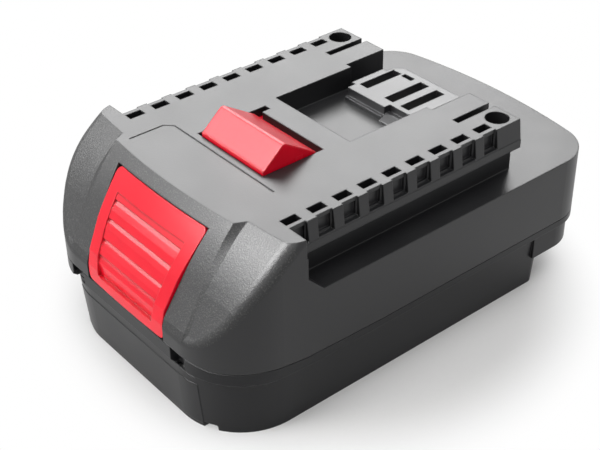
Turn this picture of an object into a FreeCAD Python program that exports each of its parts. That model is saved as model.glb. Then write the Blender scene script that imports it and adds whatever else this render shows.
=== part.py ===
import FreeCAD, Part
import math
import os
import Sketcher

# Slide-on battery pack of a cordless tool. It stands on its bottom with the nose towards -Y.
# Distances along the pack are read from the middle of the first rail slot, and depths from
# the plateau, because both are sharp marks on the real thing.

doc = FreeCAD.newDocument("battery_pack")
sheet = doc.addObject("Spreadsheet::Sheet", "sizes")
row = 0


class Length:
    """A number together with the sheet formula that gives it."""

    def __init__(self, value, text=None):
        self.value = float(value)
        self.text = text if text else f"({float(value)!r})"

    def __add__(self, other):
        other = as_length(other)
        return Length(self.value + other.value, f"({self.text} + {other.text})")

    def __sub__(self, other):
        other = as_length(other)
        return Length(self.value - other.value, f"({self.text} - {other.text})")

    def __mul__(self, other):
        other = as_length(other)
        return Length(self.value * other.value, f"({self.text} * {other.text})")

    def __truediv__(self, other):
        other = as_length(other)
        return Length(self.value / other.value, f"({self.text} / {other.text})")

    def __rsub__(self, other):
        return as_length(other) - self

    def __neg__(self):
        return Length(-self.value, f"(0 - {self.text})")

    __radd__ = __add__
    __rmul__ = __mul__


def as_length(value):
    return value if isinstance(value, Length) else Length(value)


def size(name, value):
    """Writes one named dimension into the sheet."""
    global row
    row += 1
    sheet.set(f"A{row}", name)
    sheet.set(f"B{row}", str(value))
    sheet.setAlias(f"B{row}", name)
    return Length(value, f"sizes.{name}")


# Cells. The row of cells sets the inner length and width of the case.
cell_count = 4
cell_radius = size("cell_radius", 9.15)
cell_long = size("cell_long", 65.0)
cell_gap = size("cell_gap", 0.7)
cell_lift = size("cell_lift", 0.45)
holder_wall = size("holder_wall", 0.75)
row_front = size("row_front", -3.9)
half_cell = cell_long / 2
cell_pitch = cell_radius * 2 + cell_gap
cell_first = row_front + holder_wall + cell_radius
row_rear = cell_first + cell_pitch * (cell_count - 1) + cell_radius + holder_wall

# Tub
floor_thick = size("floor_thick", 2.0)
tub_wall = size("tub_wall", 1.5)
end_room = size("end_room", 1.0)
rear_room = size("rear_room", 1.6)
tub_corner = size("tub_corner", 17.0)
tub_rear_corner = size("tub_rear_corner", 2.0)
tub_draft = 4.3
tub_half = half_cell + end_room + tub_wall
tub_rear = row_rear + rear_room + tub_wall

# Case
plateau = size("plateau", 49.8)
first_slot = size("first_slot", -34.45)
front_wall = size("front_wall", -25.3)
side_out = size("side_out", 2.5)
overhang_long = size("overhang_long", 19.0)
nose_corner = size("nose_corner", 16.4)
rear_corner = size("rear_corner", 11.5)
rear_turn = 9.8
wall = size("wall", 2.2)
deck_drop = size("deck_drop", 14.7)
seam_gap = size("seam_gap", 0.16)
half_width = tub_half + side_out
rear_wall = tub_rear + overhang_long
front_in = size("front_in", 2.4)
tub_front = front_wall + front_in

# Button, and the edges that lie under it
button_half = size("button_half", 15.1)
button_flare = size("button_flare", 2.1)
button_top = size("button_top", 3.05)
button_foot = size("button_foot", 28.25)
button_proud = size("button_proud", 0.8)
button_gap = size("button_gap", 0.3)
foot_gap = size("foot_gap", 0.35)
seam_fall = size("seam_fall", 3.6)
rim_tall = size("rim_tall", 4.7)
overhang_tall = size("overhang_tall", 8.9)
ridge_step = size("ridge_step", 1.0)
seam_front = button_foot + foot_gap
seam_side = seam_front + seam_fall
ridge_front = seam_front + rim_tall
ridge_side = ridge_front + 2.0
overhang_foot = seam_side + overhang_tall

# Nose, in distances behind the front wall
shoulder_top = size("shoulder_top", 17.2)
shoulder_side = size("shoulder_side", 19.65)
shoulder_round = size("shoulder_round", 3.0)
panel_half = size("panel_half", 22.6)
panel_step = size("panel_step", 1.7)
panel_top = size("panel_top", 14.1)
panel_crown = size("panel_crown", 1.25)
nose_foot = button_foot - 3.95
nose_bend = nose_foot - 2.0

# Rails
rail_in = size("rail_in", 5.3)
rail_half = half_width - rail_in
rail_foot_half = rail_half + 0.7
flange_half = rail_foot_half + 0.15
flange_top = size("flange_top", 5.3)
flange_thick = size("flange_thick", 2.2)
flange_foot = flange_top + flange_thick
neck_half = rail_half - 2.0
slot_count = 9
slot_pitch = size("slot_pitch", 7.228)
slot_long = size("slot_long", 4.23)
slot_wide = size("slot_wide", 2.29)
slot_depth = size("slot_depth", 5.0)
slot_offset = rail_half - 2.76
bore_radius = size("bore_radius", 2.95)
bore_depth = size("bore_depth", 5.9)
bore_offset = rail_half - 3.89
bore_along = slot_pitch * (slot_count - 1) + 6.366
rail_end = bore_along + 3.81

# Terminal pocket and block
pocket_half = size("pocket_half", 13.7)
pocket_depth = size("pocket_depth", 5.9)
pocket_long = size("pocket_long", 37.4)
pocket_step_long = size("pocket_step_long", 12.8)
block_drop = size("block_drop", 2.6)
pocket_front = rail_end - pocket_long
pocket_step = rail_end - pocket_step_long
pocket_rear_half = pocket_half + 1.8

# Latch
latch_half = size("latch_half", 12.0)
latch_front = size("latch_front", 6.3)
latch_long = size("latch_long", 15.4)
latch_rise = size("latch_rise", 5.6)
latch_gap = size("latch_gap", 0.3)
ramp_gap = size("ramp_gap", 0.42)
latch_rear = latch_front + latch_long

# Tray and board, stacked on the cells. Heights from the ground end in _level.
tray_lift = size("tray_lift", 0.75)
tray_thick = size("tray_thick", 1.5)
board_rise = size("board_rise", 5.2)
board_thick = size("board_thick", 1.6)
cell_level = floor_thick + cell_lift + cell_radius
tray_foot_level = cell_level + cell_radius + tray_lift
tray_level = tray_foot_level + tray_thick
board_foot_level = tray_level + board_rise
board_level = board_foot_level + board_thick
board_half = half_cell - 1.5
board_front = pocket_front + 0.4
board_rear = row_rear - 0.4

# Screws
screw_in = size("screw_in", 13.5)
screw_front = size("screw_front", 13.3)
screw_rear = size("screw_rear", 8.5)
screw_radius = size("screw_radius", 1.5)
screw_head = size("screw_head", 2.8)
post_radius = size("post_radius", 3.7)
screw_offset = half_width - screw_in


def along(distance):
    return first_slot + distance


def nose(distance):
    return first_slot + front_wall + distance


def depth(drop):
    return plateau - drop


# Drawing helpers

PLANES = {"X": "YZ_Plane", "Y": "XZ_Plane", "Z": "XY_Plane"}


def place_on(body, sketch, axis, offset):
    """Lays a sketch on the body's own origin plane across the axis, at the given offset."""
    plane = [item for item in body.Origin.OriginFeatures if item.Role == PLANES[axis]][0]
    sketch.AttachmentSupport = [(plane, "")]
    sketch.MapMode = "FlatFace"
    shift = -as_length(offset) if axis == "Y" else as_length(offset)
    sketch.setExpression("AttachmentOffset.Base.z", shift.text)


def outline(body, name, axis, offset, points):
    """Draws a closed outline. A point with a radius and a middle starts an arc, others a line."""
    sketch = body.newObject("Sketcher::SketchObject", name)
    place_on(body, sketch, axis, offset)
    points = [tuple(as_length(part) if part is not None and not isinstance(part, tuple) else part
                    for part in point) for point in points]
    heads = []
    for index, point in enumerate(points):
        following = points[(index + 1) % len(points)]
        start = FreeCAD.Vector(point[0].value, point[1].value, 0)
        end = FreeCAD.Vector(following[0].value, following[1].value, 0)
        if len(point) == 2:
            sketch.addGeometry(Part.LineSegment(start, end))
            heads.append((1, 2))
            continue
        middle = FreeCAD.Vector(as_length(point[3][0]).value, as_length(point[3][1]).value, 0)
        arc = Part.Arc(start, middle, end)
        sketch.addGeometry(arc)
        drawn = sketch.Geometry[index]
        heads.append((1, 2) if (drawn.StartPoint - start).Length < 0.001 else (2, 1))
    for index, point in enumerate(points):
        following = (index + 1) % len(points)
        sketch.addConstraint(Sketcher.Constraint("Coincident", index, heads[index][1],
                                                 following, heads[following][0]))
        for kind, value in (("DistanceX", point[0]), ("DistanceY", point[1])):
            number = sketch.addConstraint(
                Sketcher.Constraint(kind, -1, 1, index, heads[index][0], value.value))
            sketch.setExpression(f"Constraints[{number}]", value.text)
        if len(point) > 2:
            number = sketch.addConstraint(
                Sketcher.Constraint("Radius", index, sketch.Geometry[index].Radius))
            if point[2] is not None:
                sketch.setExpression(f"Constraints[{number}]", point[2].text)
    return sketch


def prism(body, kind, name, axis, low, high, points, draft=None):
    """Pads or pockets an outline between two positions on an axis."""
    low, high = as_length(low), as_length(high)
    base = high if axis == "Y" else low
    sketch = outline(body, name + "_outline", axis, base, points)
    feature = body.newObject("PartDesign::" + kind, name)
    feature.Profile = sketch
    feature.setExpression("Length", (high - low).text)
    if kind == "Pocket":
        feature.Reversed = True
    if draft is not None:
        feature.setExpression("TaperAngle", as_length(draft).text)
    body.Tip = feature
    return feature


def rectangle(x_low, x_high, y_low, y_high):
    return [(x_low, y_low), (x_high, y_low), (x_high, y_high), (x_low, y_high)]


def rear_edge(inset):
    """The two rear corners of the plan and the crowned edge between them."""
    turn = math.radians(rear_turn)
    side = half_width - inset
    centre_x = half_width - rear_corner
    corner_x = centre_x + rear_corner * math.sin(turn)
    rise = corner_x * ((1 - math.cos(turn)) / math.sin(turn))
    centre_y = along(rear_wall) - rise - rear_corner * math.cos(turn)
    small = rear_corner - inset
    end_x = centre_x + small * math.sin(turn)
    end_y = centre_y + small * math.cos(turn)
    crown = end_x / math.sin(turn)
    right_turn = math.pi / 4 - turn / 2
    left_turn = (math.pi / 2 + turn) / 2
    return [
        (side, centre_y, small, (centre_x + small * math.cos(right_turn),
                                 centre_y + small * math.sin(right_turn))),
        (end_x, end_y, crown, (0, end_y + crown * (1 - math.cos(turn)))),
        (-end_x, end_y, small, (-centre_x - small * math.sin(left_turn),
                                centre_y + small * math.cos(left_turn))),
        (-side, centre_y),
    ]


def case_outline(inset):
    """The plan of the case: round nose corners, smaller rear corners and a crowned rear edge."""
    inset = as_length(inset)
    side = half_width - inset
    front = nose(inset)
    big = nose_corner - inset
    nose_x = half_width - nose_corner
    nose_y = nose(nose_corner)
    slant = math.sqrt(0.5)
    return [
        (-nose_x, front),
        (nose_x, front, big, (nose_x + big * slant, nose_y - big * slant)),
        (side, nose_y),
    ] + rear_edge(inset) + [
        (-side, nose_y, big, (-nose_x - big * slant, nose_y - big * slant)),
    ]


def tub_outline(inset):
    """The plan of the tub: the nose corners of the case and a straight rear wall."""
    inset = as_length(inset)
    side = tub_half - inset
    big = tub_corner - inset
    small = tub_rear_corner - inset
    nose_x = tub_half - tub_corner
    nose_y = along(tub_front) + tub_corner
    back_x = tub_half - tub_rear_corner
    back_y = along(tub_rear - tub_rear_corner)
    slant = math.sqrt(0.5)
    return [
        (-nose_x, nose_y - big),
        (nose_x, nose_y - big, big, (nose_x + big * slant, nose_y - big * slant)),
        (side, nose_y),
        (side, back_y, small, (back_x + small * slant, back_y + small * slant)),
        (back_x, back_y + small),
        (-back_x, back_y + small, small, (-back_x - small * slant, back_y + small * slant)),
        (-side, back_y),
        (-side, nose_y, big, (-nose_x - big * slant, nose_y - big * slant)),
    ]


def loft(body, kind, name, sections, ruled=False):
    """Joins outlines in planes across the width. Each section is its place and its points."""
    sketches = [outline(body, f"{name}_{number}", "X", place, points)
                for number, (place, points) in enumerate(sections)]
    feature = body.newObject("PartDesign::" + kind, name)
    feature.Profile = sketches[0]
    feature.Sections = sketches[1:]
    feature.Ruled = ruled
    body.Tip = feature
    return feature


def edges_of(feature, test):
    """Names the edges of a feature whose vertices and middle pass the test."""
    names = []
    for number, edge in enumerate(feature.Shape.Edges, 1):
        middle = edge.valueAt((edge.FirstParameter + edge.LastParameter) / 2)
        if test(middle, edge):
            names.append(f"Edge{number}")
    return names


def rounded(body, name, test, radius, kind="Fillet"):
    """Rounds or bevels the edges that pass the test."""
    doc.recompute()
    base = body.Tip
    names = edges_of(base, test)
    feature = body.newObject("PartDesign::" + kind, name)
    feature.Base = (base, names)
    feature.setExpression("Radius" if kind == "Fillet" else "Size", as_length(radius).text)
    body.Tip = feature
    doc.recompute()
    if not feature.Shape.isValid() or feature.State and "Invalid" in feature.State:
        raise RuntimeError(f"{name} failed on {len(names)} edges")
    return feature


def new_body(name):
    return doc.addObject("PartDesign::Body", name)


def box(name, x_low, x_high, y_low, y_high, z_low, z_high):
    solid = doc.addObject("Part::Box", name)
    ends = [(as_length(low), as_length(high))
            for low, high in ((x_low, x_high), (y_low, y_high), (z_low, z_high))]
    for side, axis, (low, high) in zip(("Length", "Width", "Height"), "xyz", ends):
        solid.setExpression(side, (high - low).text)
        solid.setExpression(f"Placement.Base.{axis}", low.text)
    return solid


def cylinder(name, radius, x, y, low, high, axis="z"):
    """A round bar from low to high, along Z at (x, y), or along X at (y, z)."""
    solid = doc.addObject("Part::Cylinder", name)
    low, high = as_length(low), as_length(high)
    solid.setExpression("Radius", as_length(radius).text)
    solid.setExpression("Height", (high - low).text)
    if axis == "z":
        base = (as_length(x), as_length(y), low)
    else:
        base = (low, as_length(x), as_length(y))
        solid.Placement.Rotation = FreeCAD.Rotation(FreeCAD.Vector(0, 1, 0), 90)
    for letter, value in zip("xyz", base):
        solid.setExpression(f"Placement.Base.{letter}", value.text)
    return solid


def fuse(name, parts):
    whole = doc.addObject("Part::MultiFuse", name)
    whole.Shapes = parts
    return whole


def cut(name, base, tool):
    left = doc.addObject("Part::Cut", name)
    left.Base = base
    left.Tool = tool
    return left


nodes = {}


def node(name, solid):
    solid.Label = name
    nodes[name] = solid


# Nose surfaces

def shoulder_section(side):
    """The sloped shoulder seen from the side, at the middle (0) or at the outer wall (1)."""
    top = nose(shoulder_top + (shoulder_side - shoulder_top) * side)
    return [
        (top, depth(0), None, (nose(11.9 + 1.9 * side), depth(4.7))),
        (nose(5.95 + 0.7 * side), depth(13.3)),
        (nose(1.3), depth(nose_foot - 1.9)),
        (nose(-0.15), depth(nose_foot + 0.3)),
        (nose(-15), depth(nose_foot + 0.3)),
        (nose(-15), depth(-5)),
        (top, depth(-5)),
    ]


def panel_line(edge, rise):
    """The front line of the nose panel at the middle (0) or its edge (1), lifted by rise."""
    rise = as_length(rise)
    return [
        (nose(panel_top + panel_crown * edge - rise), depth(0), None,
         (nose(9.9 + 0.8 * edge - rise), depth(5.5 - rise * 0.4))),
        (nose(5.1 + 0.7 * edge - rise), depth(13.4)),
        (nose(0.5 + 0.4 * edge - rise), depth(nose_bend)),
        (nose(0.1 * edge - rise), depth(nose_foot)),
    ]


def panel_section(edge):
    return panel_line(edge, 0) + [
        (nose(9.3), depth(nose_foot)),
        (nose(21.3), depth(9)),
        (nose(21.3), depth(0)),
    ]


# Upper housing, outside

shell = new_body("upper_outside")
prism(shell, "Pad", "upper_block", "Z", depth(36), depth(0), case_outline(0))
loft(shell, "SubtractiveLoft", "shoulder_slope",
     [(-half_width - 1, shoulder_section(1)), (0, shoulder_section(0)),
      (half_width + 1, shoulder_section(1))])
rounded(shell, "shoulder_edge",
        lambda middle, edge: (middle.y < nose(19.3).value
                              and abs(middle.x) > half_width.value - 18.5
                              and depth(nose_foot).value < middle.z < depth(0.3).value),
        shoulder_round)

# The rear deck, then the side channels with the drafted rail, its flange and the neck below it.
prism(shell, "Pocket", "rear_deck", "X", -half_width - 1, half_width + 1,
      rectangle(along(rail_end), along(rear_wall + 5), depth(deck_drop), depth(-1)))
for side, word in ((-1, "left"), (1, "right")):
    prism(shell, "Pocket", f"channel_{word}", "Y", nose(23.4), along(rear_wall + 5), [
        (rail_half * side, depth(-1)),
        (rail_half * side, depth(0)),
        (rail_foot_half * side, depth(flange_top)),
        (flange_half * side, depth(flange_top)),
        (flange_half * side, depth(flange_foot)),
        (neck_half * side, depth(flange_foot)),
        (neck_half * side, depth(deck_drop)),
        ((half_width + 1) * side, depth(deck_drop)),
        ((half_width + 1) * side, depth(-1)),
    ])
rounded(shell, "channel_corner",
        lambda middle, edge: (abs(middle.y - nose(23.4).value) < 0.01
                              and abs(middle.z - depth(deck_drop).value) < 0.01),
        4.4, "Chamfer")

# The raised nose panel with its sloped side steps
loft(shell, "AdditiveLoft", "nose_panel",
     [(-panel_half, panel_section(1)), (0, panel_section(0)), (panel_half, panel_section(1))])


def step_foot():
    return [
        (nose(18.6), depth(0), None, (nose(12.4), depth(4.9))),
        (nose(6.4), depth(13.4)),
        (nose(1.8), depth(nose_bend)),
        (nose(1.3), depth(nose_foot)),
        (nose(9.3), depth(nose_foot)),
        (nose(21.3), depth(9)),
        (nose(21.3), depth(0)),
    ]


for side, word in ((-1, "left"), (1, "right")):
    loft(shell, "AdditiveLoft", f"panel_step_{word}",
         [(panel_half * side, panel_section(1)), ((panel_half + panel_step) * side, step_foot())],
         ruled=True)


# Upper housing, inside: the same plan, kept a wall's thickness under every outer face

hollow = new_body("upper_inside")
prism(hollow, "Pad", "hollow_block", "Z", depth(37), depth(wall), case_outline(wall))
prism(hollow, "Pocket", "hollow_nose", "X", -half_width, half_width, [
    (nose(19.7), depth(0)),
    (nose(19.7), depth(wall)),
    (nose(13.7), depth(wall + 4.6)),
    (nose(7.8), depth(wall + 12.6)),
    (nose(2.8), depth(nose_foot + 0.3)),
    (nose(2.1), depth(nose_foot + 1.9)),
    (nose(-4.7), depth(nose_foot + 1.9)),
    (nose(-4.7), depth(0)),
])
prism(hollow, "Pocket", "hollow_rear", "X", -half_width, half_width,
      rectangle(along(rail_end - 1.2), along(rear_wall), depth(deck_drop + wall), depth(0)))
prism(hollow, "Pocket", "hollow_pocket", "X", -half_width, half_width,
      rectangle(along(pocket_front - wall), along(rear_wall), depth(pocket_depth + 1.6), depth(0)))
for side, word in ((-1, "left"), (1, "right")):
    prism(hollow, "Pocket", f"hollow_neck_{word}", "Y", nose(-4.7), along(rear_wall),
          rectangle((neck_half - wall) * side, half_width * side,
                    depth(deck_drop + wall), depth(0)))
    prism(hollow, "Pocket", f"hollow_rail_{word}", "Y", nose(-4.7), along(rear_wall),
          rectangle((bore_offset - bore_radius - 4.86) * side, half_width * side,
                    depth(bore_depth + 2.1), depth(0)))

upper_shell = cut("upper_shell", shell, hollow)

# Openings cut through the upper shell

flare_foot = button_foot - 7.0
flare_half = button_half + button_flare


def button_sides(gap, top, foot):
    """The outline of the button from the front: its sides close in towards the foot."""
    top = as_length(top)
    foot = as_length(foot)
    slope = button_flare.value / (flare_foot - button_top).value
    top_half = flare_half.value + gap.value + slope * (button_top - top).value
    foot_half = button_half + gap
    return [
        (-top_half, depth(top)),
        (top_half, depth(top)),
        (foot_half, depth(flare_foot)),
        (foot_half, depth(foot)),
        (-foot_half, depth(foot)),
        (-foot_half, depth(flare_foot)),
    ]


cuts = new_body("upper_openings")
prism(cuts, "Pad", "button_opening", "Y", nose(-4.7), nose(20.9),
      button_sides(button_gap, button_top - button_gap, button_foot + 2))
latch_slack = latch_half + latch_gap
prism(cuts, "Pad", "latch_opening", "Z", depth(wall + 1), depth(-1),
      rectangle(-latch_slack, latch_slack, along(latch_front - 0.25), along(latch_rear + 2.1)))
prism(cuts, "Pad", "latch_notch", "Z", depth(wall + 1), depth(-1),
      rectangle(-latch_slack, 1.6 - latch_half, along(latch_rear + 1.3), along(latch_rear + 4.5)))
prism(cuts, "Pad", "terminal_pocket", "Z", depth(pocket_depth), depth(-1), [
    (-pocket_half, along(pocket_front)),
    (pocket_half, along(pocket_front)),
    (pocket_half, along(pocket_step)),
    (pocket_rear_half, along(pocket_step)),
    (pocket_rear_half, along(rail_end + 1)),
    (-pocket_rear_half, along(rail_end + 1)),
    (-pocket_rear_half, along(pocket_step)),
    (-pocket_half, along(pocket_step)),
])
foot_half = pocket_half - 3.7
prism(cuts, "Pad", "block_opening", "Z", depth(pocket_depth + 3), depth(-1),
      rectangle(-foot_half - 0.3, foot_half + 0.3, along(rail_end - 15.3), along(rail_end - 1.1)))
crease_half = panel_half - 1.7
crease_rear = 4.2
for side, word in ((-1, "left"), (1, "right")):
    prism(cuts, "Pad", f"rear_slot_{word}", "Z", depth(slot_depth), depth(-1),
          rectangle((rail_half - 10.1) * side, (rail_half - 8.2) * side,
                    along(rail_end - 12.5), along(rail_end + 1)))
prism(cuts, "Pad", "crease_left", "Z", depth(0.3), depth(-1), [
    (0.35 - crease_half, nose(17.9)),
    (-crease_half, nose(17.9)),
    (-crease_half, along(crease_rear - 2.0)),
    (2.0 - crease_half, along(crease_rear)),
    (2.2 - crease_half, along(crease_rear - 0.3)),
    (0.35 - crease_half, along(crease_rear - 2.15)),
])
prism(cuts, "Pad", "crease_across", "Z", depth(0.3), depth(-1),
      rectangle(2.1 - crease_half, crease_half - 2.1, along(crease_rear - 0.35),
                along(crease_rear)))


def seam_line(gap):
    """The seam between the two housings, seen from the side."""
    return [
        (nose(-20), depth(seam_front - gap)),
        (nose(0.1), depth(seam_front - gap)),
        (nose(2.1), depth(seam_front + 0.7 - gap)),
        (nose(12.7), depth(seam_front + 1.3 - gap)),
        (nose(22.9), depth(seam_side - 0.7 - gap)),
        (nose(45.3), depth(seam_side - gap)),
        (along(rear_wall + 10), depth(seam_side - gap)),
    ]


prism(cuts, "Pad", "below_seam", "X", -half_width - 2, half_width + 2, seam_line(seam_gap) + [
    (along(rear_wall + 10), depth(overhang_foot + 5)),
    (nose(-20), depth(overhang_foot + 5)),
])

# One slot through the top and one blind window in the side for every step of the rails
slots = []
for side, word in ((-1, "left"), (1, "right")):
    for number in range(slot_count):
        centre = along(slot_pitch * number)
        half = slot_long / 2
        inner = slot_offset - slot_wide / 2
        outer = slot_offset + slot_wide / 2
        pair = (inner, outer) if side > 0 else (-outer, -inner)
        face = (rail_half - 0.5, half_width) if side > 0 else (-half_width, 0.5 - rail_half)
        pocket = (outer + 0.4, half_width) if side > 0 else (-half_width, -outer - 0.4)
        slots.append(box(f"slot_{word}_{number}", *pair, centre - half, centre + half,
                         depth(slot_depth), depth(-1)))
        slots.append(box(f"recess_{word}_{number}", *face, centre - half - 0.1, centre + half + 0.1,
                         depth(flange_top - 0.3), depth(-1)))
        slots.append(box(f"window_{word}_{number}", *pocket, centre - half + 0.25,
                         centre + half - 0.25, depth(flange_top - 0.7), depth(1.0)))
    slots.append(cylinder(f"bore_{word}", bore_radius, bore_offset * side, along(bore_along),
                          depth(bore_depth), depth(-1)))

# Screw posts and latch guides inside the upper housing
carriage_half = latch_half + 2.6
additions = []
holes = []
for side, word in ((-1, "left"), (1, "right")):
    guide = (carriage_half + 0.4, carriage_half + 1.8)
    additions.append(box(f"guide_{word}", *(guide if side > 0 else (-guide[1], -guide[0])),
                         along(latch_front - 1.8), along(latch_rear + 3.8), depth(16),
                         depth(wall - 0.1)))
    additions.append(cylinder(f"upper_post_front_{word}", post_radius, screw_offset * side,
                              nose(screw_front), depth(seam_front + 0.8), depth(8.6)))
    additions.append(cylinder(f"upper_post_rear_{word}", post_radius, screw_offset * side,
                              along(tub_rear + screw_rear), depth(seam_side - 0.3),
                              depth(deck_drop + 1)))
    for place, top, word_along in ((nose(screw_front), 20, "front"),
                                   (along(tub_rear + screw_rear), deck_drop + 7.3, "rear")):
        holes.append(cylinder(f"pilot_{word_along}_{word}", screw_radius, screw_offset * side,
                              place, depth(seam_side + 5), depth(top)))

upper_open = cut("upper_open", upper_shell, fuse("upper_cutters", [cuts] + slots))
upper_whole = fuse("upper_whole", [upper_open] + additions)
node("upper_housing", cut("upper_housing", upper_whole, fuse("upper_pilots", holes)))

# Lower housing, outside: rim under the seam, bevel, overhang band and the drafted tub

lower = new_body("lower_outside")
prism(lower, "Pad", "rim", "Z", depth(ridge_side + 2), depth(seam_front - 1.6), case_outline(0))
prism(lower, "Pocket", "rim_top", "X", -half_width - 1, half_width + 1, seam_line(0) + [
    (along(rear_wall + 10), depth(seam_front - 10)),
    (nose(-20), depth(seam_front - 10)),
])
prism(lower, "Pocket", "rim_foot", "X", -half_width - 1, half_width + 1, [
    (nose(-20), depth(ridge_front)),
    (nose(-0.2), depth(ridge_front)),
    (nose(25.3), depth(ridge_side)),
    (along(rear_wall + 10), depth(ridge_side)),
    (along(rear_wall + 10), depth(ridge_side + 10)),
    (nose(-20), depth(ridge_side + 10)),
])
rounded(lower, "rim_bevel",
        lambda middle, edge: (middle.z < depth(ridge_front - 0.1).value
                              and edge.BoundBox.ZLength < 2.5
                              and edge.BoundBox.XLength < half_width.value * 1.9),
        1.2, "Chamfer")
overhang_inset = as_length(ridge_step)
overhang_start = along(tub_rear - 3.0)
prism(lower, "Pad", "overhang", "Z", depth(overhang_foot), depth(ridge_front - 1), [
    (overhang_inset - half_width, overhang_start),
    (half_width - overhang_inset, overhang_start),
] + rear_edge(overhang_inset))
prism(lower, "Pad", "tub", "Z", 0, depth(ridge_side - 1.5), tub_outline(0), tub_draft)
room_inset = ridge_step + wall
room_start = along(tub_rear - 10.0)
prism(lower, "Pocket", "overhang_room", "Z", depth(overhang_foot - floor_thick),
      depth(seam_front - 8), [
          (room_inset - half_width, room_start),
          (half_width - room_inset, room_start),
      ] + rear_edge(room_inset))
prism(lower, "Pocket", "tub_room", "Z", floor_thick, depth(seam_front - 8),
      tub_outline(tub_wall), tub_draft)

front_panel = new_body("front_panel")
prism(front_panel, "Pad", "panel_block", "Z", 1.0, depth(ridge_side + 1.3), tub_outline(-0.2),
      tub_draft)
prism(front_panel, "Pocket", "panel_back", "Z", 0, depth(seam_front),
      rectangle(-half_width - 1, half_width + 1, along(tub_front + 1.3), along(rear_wall)))
panel_end = panel_half + 1.4
for side, word in ((-1, "left"), (1, "right")):
    prism(front_panel, "Pocket", f"panel_end_{word}", "Z", 0, depth(seam_front),
          rectangle(panel_end * side, (half_width + 2) * side, nose(-15), nose(25)))

lower_adds = [lower, front_panel]
lower_cuts = []
for side, word in ((-1, "left"), (1, "right")):
    spots = ((nose(screw_front), as_length(0), seam_front + 1.1, "front"),
             (along(tub_rear + screw_rear), depth(overhang_foot), seam_side, "rear"))
    for place, base, top, word_along in spots:
        lower_adds.append(cylinder(f"lower_post_{word_along}_{word}", post_radius,
                                   screw_offset * side, place, base + 1, depth(top)))
        lower_cuts.append(cylinder(f"screw_hole_{word_along}_{word}", screw_radius + 0.2,
                                   screw_offset * side, place, base - 1, depth(seam_front - 8)))
        lower_cuts.append(cylinder(f"screw_well_{word_along}_{word}", screw_head + 0.3,
                                   screw_offset * side, place, base - 1, base + 3.2))
    notch = new_body(f"front_notch_{word}")
    prism(notch, "Pad", f"notch_{word}", "Y", nose(-4.7), nose(2.2), [
        ((panel_end - 6.2) * side, depth(seam_front - 3.6)),
        ((panel_end - 6.2) * side, depth(ridge_front - 0.2)),
        ((panel_end - 4.7) * side, depth(ridge_front + 0.7)),
        ((panel_end + 0.1) * side, depth(ridge_front + 2.0)),
        ((panel_end + 0.1) * side, depth(ridge_front)),
        ((panel_end - 1.0) * side, depth(ridge_front - 2.3)),
        ((panel_end - 0.9) * side, depth(seam_front - 3.6)),
    ])
    lower_cuts.append(notch)
    foot_notch = (panel_end, panel_end + 3.2)
    lower_cuts.append(box(f"foot_notch_{word}",
                          *(foot_notch if side > 0 else (-foot_notch[1], -foot_notch[0])),
                          nose(-4.7), nose(5.7), -1, 1.5))
node("lower_housing", cut("lower_housing", fuse("lower_whole", lower_adds),
                          fuse("lower_cutters", lower_cuts)))

# Release button: a plate that follows the nose, a ribbed recess and the arm with its ramp


def button_line(edge, back):
    """The front line of the button at the middle (0) or its edge (1), or that far behind it."""
    back = as_length(back)
    return [
        (nose(panel_top + 0.5 + 0.7 * edge + back), depth(0), None,
         (nose(9.9 + 0.6 * edge + back), depth(5.5))),
        (nose(5.15 + 0.4 * edge - button_proud + back), depth(13.4)),
        (nose(1.55 + 0.35 * edge - button_proud + back), depth(nose_foot - 3.8)),
        (nose(0.75 + 0.35 * edge - button_proud + back), depth(nose_foot)),
        (nose(0.4 + 0.35 * edge - button_proud + back), depth(button_foot + 13)),
    ]


def button_section(edge):
    return button_line(edge, 0) + [
        (nose(18.3), depth(button_foot + 13)),
        (nose(18.3), depth(0)),
    ]


def button_back(edge):
    return button_line(edge, 2.4) + [
        (nose(45.3), depth(button_foot + 13)),
        (nose(45.3), depth(0)),
    ]


button = new_body("button_plate")
loft(button, "AdditiveLoft", "button_surface",
     [(-flare_half, button_section(1)), (0, button_section(0)), (flare_half, button_section(1))])
loft(button, "SubtractiveLoft", "button_hollow",
     [(-flare_half - 1, button_back(1)), (0, button_back(0)), (flare_half + 1, button_back(1))])
prism(button, "Pocket", "button_above", "X", -flare_half - 1, flare_half + 1,
      rectangle(nose(-15), nose(35), depth(button_top), depth(-5)))
prism(button, "Pocket", "button_below", "X", -flare_half - 1, flare_half + 1,
      rectangle(nose(-15), nose(35), depth(button_foot + 20), depth(button_foot)))
for side, word in ((-1, "left"), (1, "right")):
    prism(button, "Pocket", f"button_side_{word}", "Y", nose(-15), nose(35), [
        (flare_half * side, depth(button_top)),
        ((flare_half + 3) * side, depth(button_top)),
        ((flare_half + 3) * side, depth(button_foot + 1)),
        (button_half * side, depth(button_foot + 1)),
        (button_half * side, depth(flare_foot)),
    ])
rounded(button, "button_corners",
        lambda middle, edge: (abs(middle.x) > button_half.value - 0.05
                              and edge.BoundBox.ZLength < 0.05 and edge.BoundBox.XLength < 0.05
                              and edge.Length > 0.8
                              and abs(middle.z - depth(flare_foot).value) > 1), 1.3)


def face_line():
    """The middle line of the button's face as a wire in the plane across the width."""
    corners = [FreeCAD.Vector(0, point[0].value, point[1].value) for point in
               button_section(0)[:5]]
    middle = button_section(0)[0][3]
    bend = FreeCAD.Vector(0, middle[0].value, middle[1].value)
    edges = [Part.Arc(corners[0], bend, corners[1]).toShape()]
    edges += [Part.makeLine(corners[number], corners[number + 1]) for number in (1, 2, 3)]
    return Part.Wire(edges)


# The thumb field: five ribs, each under a ledge that faces down and with a rounded upper side
face = face_line()


def face_at(level):
    """Where the button's face lies at a height."""
    low = FreeCAD.Vector(0, nose(-20).value, level)
    high = FreeCAD.Vector(0, nose(40).value, level)
    return face.distToShape(Part.makeLine(low, high))[1][0][0].y


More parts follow.
